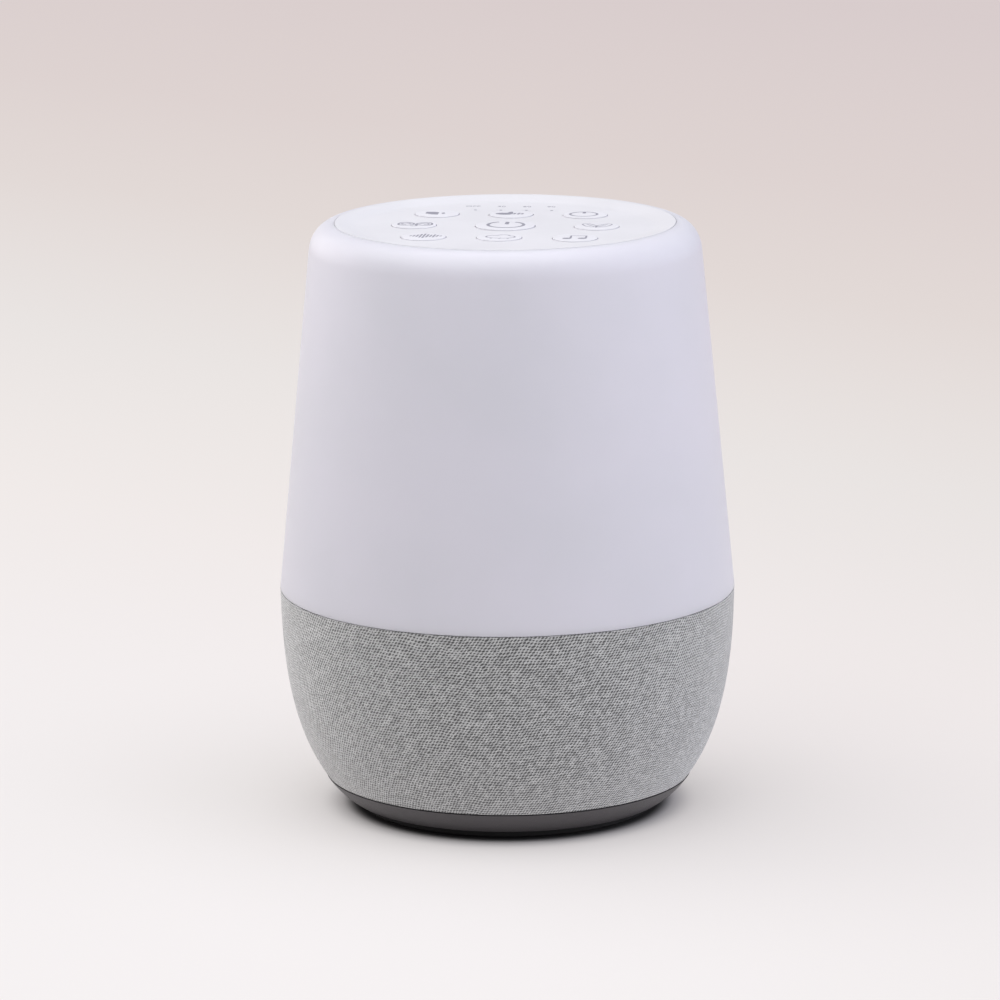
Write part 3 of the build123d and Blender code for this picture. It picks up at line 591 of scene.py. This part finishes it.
BULB = [(-2.1, -0.7), (-2.0, 1.4), (-0.4, 1.5), (0.9, 1.0), (0.9, -2.2), (-0.5, -2.0)]
BIRD = [
    (-3.1, -0.3),
    (-2.3, 0.8),
    (-0.4, 1.1),
    (-0.1, 2.2),
    (0.5, 2.4),
    (0.8, 1.4),
    (0.3, -1.3),
    (-1.2, -1.6),
    (-2.5, -1.1),
]
BLADE = [(-0.3, 0.0), (-1.2, 1.9), (-2.7, 2.4), (-3.8, 0.7), (-3.1, -1.5), (-1.5, -1.4)]
BLADE_FOLD = [(-0.9, 0.0), (-1.7, 1.1), (-2.8, 1.0), (-2.9, -0.3), (-2.0, -0.5)]
SPRIG = [(-0.2, -1.8), (-0.9, 1.2), (-2.9, 2.5), (-2.8, 0.0), (-1.6, -1.5)]
SPRIG_VEIN = [(-0.4, -1.4), (-2.3, 1.5)]
CLOUD = [
    (-2.7, -1.4),
    (-3.2, 0.0),
    (-2.2, 1.2),
    (-1.0, 1.3),
    (0.0, 2.2),
    (1.5, 1.9),
    (2.0, 1.0),
    (3.1, 0.2),
    (2.8, -1.4),
]

PICTOGRAMS = {
    "light": [patch(BULB, smooth=False), patch(around((2.0, -0.3), 0.8, 1.9, 8))],
    "birds": [
        patch(BIRD),
        stroke([(1.15, -0.9), (1.35, 0.7)], 0.6),
        stroke([(2.05, -1.1), (2.35, 0.9)], 0.6),
        stroke([(2.9, -0.9), (3.1, 0.6)], 0.6),
    ],
    "timer": [
        stroke(around((0, 0), 6.2, 6.2, 16), 0.55, closed=True, smooth=True),
        stroke([(0, 1.0), (0, 2.8)], 0.75),
    ],
    "fan": [
        stroke(BLADE, 0.5, closed=True, smooth=True),
        stroke(BLADE_FOLD, 0.5, smooth=True),
        stroke(mirrored(BLADE), 0.5, closed=True, smooth=True),
        stroke(mirrored(BLADE_FOLD), 0.5, smooth=True),
        stroke([(0.1, 0.0), (0.2, -2.4), (-0.9, -2.2)], 0.5, smooth=True),
    ],
    "power": [
        stroke(around((0, 0), 8.1, 8.1, 20, 118, 304), 0.75, smooth=True),
        stroke([(0.1, 0.6), (0.1, 3.6)], 0.9),
    ],
    "leaf": [
        stroke(SPRIG, 0.35, closed=True, smooth=True),
        stroke(SPRIG_VEIN, 0.35),
        stroke(mirrored(SPRIG), 0.35, closed=True, smooth=True),
        stroke(mirrored(SPRIG_VEIN), 0.35),
        stroke([(0, -2.6), (0, -1.8)], 0.4),
    ],
    "waves": bars([1.0, 1.7, 2.8, 4.4, 5.4, 3.8, 2.6, 3.6, 2.0, 1.0], 0.75),
    "rain": [
        stroke(CLOUD, 0.4, closed=True, smooth=True),
        stroke([(-1.8, -2.0), (-2.1, -2.8)], 0.4),
        stroke([(0.1, -2.0), (-0.2, -2.8)], 0.4),
        stroke([(2.0, -2.0), (1.7, -2.8)], 0.4),
    ],
    "music": [
        stroke([(-1.0, -1.7), (-1.0, 1.8), (2.4, 1.8), (2.4, -1.5)], 0.55),
        patch(around((-1.8, -1.8), 1.9, 1.5, 10)),
        patch(around((1.6, -1.6), 1.9, 1.5, 10)),
    ],
}

for name, place in KEY_PLACES.items():
    radius = POWER_KEY_RADIUS if name == "power" else KEY_RADIUS
    top = POWER_KEY_TOP if name == "power" else KEY_TOP
    cap_outline = [
        (0, top),
        (radius + KEY_SKIN, top, KEY_EDGE),
        (radius + KEY_SKIN, KEY_FLANGE_TOP),
        (radius + KEY_FLANGE_WIDTH, KEY_FLANGE_TOP),
        (radius + KEY_FLANGE_WIDTH, KEY_FOOT),
        (KEY_STEM_RADIUS, KEY_FOOT),
        (KEY_STEM_RADIUS, KEY_STEM_FOOT),
        (0, KEY_STEM_FOOT),
    ]
    cap = turned(cap_outline, 72, closed=False, place=place)
    cap = finish_shape(cap, f"keycap_{name}", f"key_{name}", white_key)
    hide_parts(f"key_{name}")
    middle = (place[0] + PICTOGRAM_SHIFTS[name], place[1] + PICTOGRAM_LIFT)
    printed(f"pictogram_{name}", PICTOGRAMS[name], middle, top, f"key_{name}")

# ---------------------------------------------------------------- timer labels

LABEL_PLACES = {"OFF": -9.8, "30": -3.2, "60": 2.7, "90": 8.3}
LABEL_ROW = 27.4
LABEL_SIZE = 2.0
DOT_PITCH = 5.87
DOT_ROW = 22.2


def label(text, x):
    """Flat printed text in the panel's row of labels, centred on x."""
    curve = bpy.data.curves.new(f"label_{text}", "FONT")
    curve.body = text
    curve.size = LABEL_SIZE * MM
    curve.align_x = "CENTER"
    curve.align_y = "CENTER"
    curve.extrude = INK_HEIGHT * MM
    holder = bpy.data.objects.new("letters", curve)
    mesh = bpy.data.meshes.new_from_object(holder)
    bpy.data.objects.remove(holder)
    shape = bmesh.new()
    shape.from_mesh(mesh)
    bmesh.ops.remove_doubles(shape, verts=shape.verts, dist=1e-7)
    bmesh.ops.translate(shape, verts=shape.verts, vec=(x * MM, LABEL_ROW * MM, PANEL_TOP * MM))
    piece = finish_shape(shape, f"timer_label_{text.lower()}", "housing", ink)


for text, x in LABEL_PLACES.items():
    label(text, x)

dot_places = [DOT_PITCH * (index - 1.5) for index in range(4)]
dots = [patch(around((x, 0), 0.7, 0.8, 8)) for x in dot_places]
printed("timer_dots", dots, (0, DOT_ROW), PANEL_TOP, "housing")

pipes = bmesh.new()
for x in dot_places:
    pipe = turned(
        [
            (0, PANEL_TOP),
            (PIPE_RADIUS, PANEL_TOP),
            (PIPE_RADIUS, LEDGE_TOP),
            (PIPE_COLLAR_RADIUS, LEDGE_TOP),
            (PIPE_COLLAR_RADIUS, PIPE_COLLAR_FOOT),
            (PIPE_CORE_RADIUS, PIPE_COLLAR_FOOT),
            (PIPE_CORE_RADIUS, PIPE_FOOT),
            (0, PIPE_FOOT),
        ],
        32,
        closed=False,
        place=(x, DOT_ROW),
    )
    pipe_mesh = bpy.data.meshes.new("pipe")
    pipe.to_mesh(pipe_mesh)
    pipe.free()
    pipes.from_mesh(pipe_mesh)
    bpy.data.meshes.remove(pipe_mesh)
pipes = finish_shape(pipes, "timer_pipe_lenses", "housing", clear_pipe)
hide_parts("timer_light_pipes")

# ---------------------------------------------------------------- cloth sleeve

TOP_LEAN = radians(1.8)
FOOT_LEAN = radians(35.9)
TOP_HANDLE = 9.6
FOOT_HANDLE = 16.5


def bowl(inset, count):
    """Corners of the bowl's side from the seam down to the base, moved inwards by inset."""
    top = Vector((SEAM_RADIUS - inset, SLEEVE_TOP))
    foot = Vector((BOWL_FOOT_RADIUS - inset / cos(FOOT_LEAN), SLEEVE_FOOT))
    corners = bezier(
        top,
        top - Vector((sin(TOP_LEAN), cos(TOP_LEAN))) * TOP_HANDLE,
        foot + Vector((sin(FOOT_LEAN), cos(FOOT_LEAN))) * FOOT_HANDLE,
        foot,
        count,
    )
    return corners + [tuple(foot)]


sleeve_outline = bowl(0, 48) + bowl(CLOTH_THICKNESS, 24)[::-1]
sleeve_shape = turned(sleeve_outline, 240)
unwrapped = sleeve_shape.loops.layers.uv.new("cloth")
for face in sleeve_shape.faces:
    middle = face.calc_center_median()
    middle_turn = middle.to_2d().angle_signed(Vector((1, 0)), 0)
    for loop in face.loops:
        turn = loop.vert.co.to_2d().angle_signed(Vector((1, 0)), 0)
        turn += 2 * pi * round((middle_turn - turn) / (2 * pi))
        drop = (SLEEVE_TOP * MM - loop.vert.co.z) / MM
        loop[unwrapped].uv = (turn / (2 * pi) * CLOTH_COLUMNS, -drop / CLOTH_ROW)
sleeve = finish_shape(sleeve_shape, "cloth_sleeve", "housing", cloth)

CUTTER_START = 30.0  # behind the axis, inside the sleeve
CUTTER_LENGTH = 30.0
cutter_place = Matrix.Translation((0, CUTTER_START * MM, PORT_HEIGHT * MM))
cutter_turn = Euler((-pi / 2, 0, 0)).to_matrix().to_4x4()
cutter_shape = bmesh.new()
bmesh.ops.create_circle(
    cutter_shape,
    cap_ends=True,
    radius=PORT_DEPTH / 2 * MM,
    segments=48,
    matrix=cutter_place @ cutter_turn,
)
straight = (PORT_WIDTH - PORT_DEPTH) / 2 * MM
for vertex in cutter_shape.verts:
    if abs(vertex.co.x) > 1e-9:
        vertex.co.x += copysign(straight, vertex.co.x)
swept = bmesh.ops.extrude_face_region(cutter_shape, geom=cutter_shape.faces[:])
moved = [item for item in swept["geom"] if isinstance(item, bmesh.types.BMVert)]
bmesh.ops.translate(cutter_shape, verts=moved, vec=(0, CUTTER_LENGTH * MM, 0))
bmesh.ops.recalc_face_normals(cutter_shape, faces=cutter_shape.faces)
cutter_mesh = bpy.data.meshes.new("port_cutter")
cutter_shape.to_mesh(cutter_mesh)
cutter_shape.free()
cutter = bpy.data.objects.new("port_cutter", cutter_mesh)
bpy.context.scene.collection.objects.link(cutter)
opening = sleeve.modifiers.new("port_opening", "BOOLEAN")
opening.operation = "DIFFERENCE"
opening.solver = "EXACT"
opening.object = cutter
bpy.context.view_layer.update()
evaluated = sleeve.evaluated_get(bpy.context.evaluated_depsgraph_get())
opened = bpy.data.meshes.new_from_object(evaluated)
sleeve.modifiers.clear()
sleeve.data = opened
bpy.data.objects.remove(cutter)
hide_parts("fabric_sleeve")

# ---------------------------------------------------------------- power inlet bezel


def softened(node, width, body, material):
    """A node's solid with its edges rounded by width, in place of the node."""
    shape = bmesh.new()
    shape.from_mesh(nodes[node].data)
    bmesh.ops.remove_doubles(shape, verts=shape.verts, dist=1e-6)
    bmesh.ops.dissolve_limit(
        shape, angle_limit=radians(1), verts=shape.verts, edges=shape.edges
    )
    sharp = [edge for edge in shape.edges if edge.calc_face_angle(0) > radians(40)]
    bmesh.ops.bevel(
        shape,
        geom=sharp,
        offset=width * MM,
        offset_type="OFFSET",
        segments=3,
        profile=0.5,
        affect="EDGES",
        material=-1,
        clamp_overlap=True,
    )
    piece = finish_shape(shape, f"{node}_rounded", body, material)
    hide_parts(node)


BEZEL_ROUNDING = 0.25
softened("port_bezel", BEZEL_ROUNDING, "housing", dark_base)

# ---------------------------------------------------------------- soft parts of the speaker

SURROUND_EDGES = {"inner": 18.8, "outer": 24.4}
SURROUND_TOP = 28.1
ROLL_RADIUS = 21.6
ROLL_LEVEL = 27.6
ROLL_OUTSIDE = 1.6
ROLL_INSIDE = 1.1
SPIDER_BORE = 6.9
SPIDER_RADIUS = 16.6
SPIDER_FOOT = 34.9
SPIDER_TOP = 35.4
SPIDER_SHEET = 0.26
SPIDER_WAVES = 4


def quarter_roll(radius, side):
    """Quarter circle of the surround's roll, from its side to its lowest point."""
    turns = [radians(90 * step / 8) for step in range(9)]
    return [
        (ROLL_RADIUS + side * radius * cos(turn), ROLL_LEVEL - radius * sin(turn))
        for turn in turns
    ]


for name, edge in SURROUND_EDGES.items():
    side = 1 if edge > ROLL_RADIUS else -1
    body = "housing" if name == "outer" else None
    half_outline = [(edge, SURROUND_TOP), (edge, ROLL_LEVEL)]
    half_outline += quarter_roll(ROLL_OUTSIDE, side)
    half_outline += quarter_roll(ROLL_INSIDE, side)[::-1]
    half_outline += [(ROLL_RADIUS + side * ROLL_INSIDE, SURROUND_TOP)]
    half = finish_shape(turned(half_outline, 96), f"surround_{name}_half", body, foam)
    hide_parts("speaker_surround")
    if name == "inner":
        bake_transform(half)

wave_steps = 12 * SPIDER_WAVES
wave_middle = (SPIDER_TOP + SPIDER_FOOT) / 2
wave_height = (SPIDER_TOP - SPIDER_FOOT - SPIDER_SHEET) / 2
wave = [
    (
        SPIDER_BORE + (SPIDER_RADIUS - SPIDER_BORE) * step / wave_steps,
        wave_middle + wave_height * cos(2 * pi * SPIDER_WAVES * step / wave_steps),
    )
    for step in range(wave_steps + 1)
]
spider_outline = [(r, z + SPIDER_SHEET / 2) for r, z in wave]
spider_outline += [(r, z - SPIDER_SHEET / 2) for r, z in wave[::-1]]
spider = finish_shape(turned(spider_outline, 96), "spider_corrugated", "housing", paper)
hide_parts("speaker_spider")
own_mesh(spider)

# ---------------------------------------------------------------- floor, light and camera

# Lengths here are in metres.
FLOOR_SHADES = [
    (-0.1, shade_of(244, 240, 239)),
    (0.19, shade_of(241, 235, 233)),
    (0.42, shade_of(234, 229, 227)),
    (0.70, shade_of(227, 218, 215)),
    (0.95, shade_of(223, 212, 210)),
    (1.5, shade_of(218, 206, 206)),
]
FLOOR_NEAREST = FLOOR_SHADES[0][0]
FLOOR_RUN = FLOOR_SHADES[-1][0] - FLOOR_NEAREST
FLOOR_RADIUS = 9.0

# Distances from the axis, near and far, and the shares of light there. The glow by the foot is
# painted light over the object's shadow there. The third share is a painted contact shadow: a dark
# ring on the floor round the foot.
FOOT_GLOW = (0.0355, 0.044, 0.0, 0.42)
PAPER_GLOW = (0.06, 0.45, 0.0, 0.54)
PAINTED_CONTACT_SHADOW = (0.0345, 0.0385, 0.76, 0.0)
PAPER_SHADE = 0.16


def floor_finish():
    """Pale seamless paper, darker to the back right, that glows away from the object. Its glow
    beside the foot is painted light over the object's shadow, and a ring of painted contact shadow
    darkens it round the foot.
    """
    finish = Finish(bpy.data.materials.new("seamless_paper"))
    x, y, _ = finish.split(finish.place())
    run = (y + 0.8 * x - FLOOR_NEAREST) / FLOOR_RUN
    stops = [((t - FLOOR_NEAREST) / FLOOR_RUN, colour) for t, colour in FLOOR_SHADES]
    paper_shade = finish.node("ShaderNodeValToRGB", {"stops": stops}, {"Fac": run})
    away = (x * x + y * y).root()
    # glow: the paper's own pale glow far off, and beside the foot painted light over the object's
    # shadow
    glow = away.between(*FOOT_GLOW) + away.between(*PAPER_GLOW)
    # painted contact shadow: the floor's colour darkened in a ring round the foot
    painted_shadow = away.between(*PAINTED_CONTACT_SHADOW)
    lit = finish.mix(PAPER_SHADE + (1 - PAPER_SHADE) * glow + painted_shadow, paper_shade, (0, 0, 0))
    glowing = finish.mix(glow, (0, 0, 0), paper_shade)
    return finish.shade(
        Base_Color=lit,
        Emission_Color=glowing,
        Emission_Strength=1.0,
        Roughness=1.0,
        Specular_IOR_Level=0.0,
    )


floor_shape = bmesh.new()
bmesh.ops.create_circle(floor_shape, cap_ends=True, radius=FLOOR_RADIUS, segments=96)
floor_mesh = bpy.data.meshes.new("floor")
floor_shape.to_mesh(floor_mesh)
floor_shape.free()
floor_mesh.materials.append(floor_finish())
floor = bpy.data.objects.new("floor", floor_mesh)
bpy.context.scene.collection.objects.link(floor)

ROOM_DIM = (0.29, 0.29, 0.3)
ROOM_LEFT = (2.1, 2.0, 2.02)
ROOM_RIGHT = (1.45, 1.5, 1.7)
world = bpy.data.worlds.new("studio")
bpy.context.scene.world = world
sky = Finish(world)
right, back, _ = sky.split(sky.node("ShaderNodeTexCoord", output="Generated"))
left_glow = (0.5 * back - 0.87 * right).between(0.7, 1.0)
right_glow = right.between(0.25, 1.0)
left_side = sky.mix(left_glow, ROOM_DIM, ROOM_LEFT)
room = sky.mix(right_glow, left_side, ROOM_RIGHT)
seen = sky.node("ShaderNodeLightPath", output="Is Camera Ray")
backdrop = sky.mix(seen, room, FLOOR_SHADES[-1][1])
background = sky.node("ShaderNodeBackground", inputs={"Color": backdrop, "Strength": 1.0})
sky.node("ShaderNodeOutputWorld", inputs={"Surface": background})

SOFTBOX_PLACE = Vector((-0.24, -0.15, 1.2))
SOFTBOX_SIDE = 1.7
SOFTBOX_POWER = 17.4
MIDDLE = Vector((0, 0, 0.07))
lamp = bpy.data.lights.new("overhead_softbox", "AREA")
lamp.shape = "RECTANGLE"
lamp.size = SOFTBOX_SIDE
lamp.size_y = SOFTBOX_SIDE
lamp.energy = SOFTBOX_POWER
softbox = bpy.data.objects.new("overhead_softbox", lamp)
facing = (SOFTBOX_PLACE - MIDDLE).to_track_quat("Z", "Y").to_matrix().to_4x4()
softbox.matrix_world = Matrix.Translation(SOFTBOX_PLACE) @ facing
bpy.context.scene.collection.objects.link(softbox)

AZIMUTH = radians(5.0)
ELEVATION = 0.2301
DISTANCE = 1.248
AIM = Vector((0, 0, 0.0512))
PAN = 0.0013
TILT = -0.2150
ROLL = -0.0064
LENS = 195.94
camera_data = bpy.data.cameras.new("camera")
camera_data.sensor_width = 36.0
camera_data.lens = LENS
camera = bpy.data.objects.new("camera", camera_data)
way = Vector(
    (cos(ELEVATION) * sin(AZIMUTH), -cos(ELEVATION) * cos(AZIMUTH), sin(ELEVATION))
)
camera.matrix_world = (
    Matrix.Translation(AIM + DISTANCE * way)
    @ Matrix.Rotation(AZIMUTH + PAN, 4, "Z")
    @ Matrix.Rotation(pi / 2 + TILT, 4, "X")
    @ Matrix.Rotation(ROLL, 4, "Z")
)
bpy.context.scene.collection.objects.link(camera)
bpy.context.scene.camera = camera
bpy.context.scene.view_settings.view_transform = "Standard"
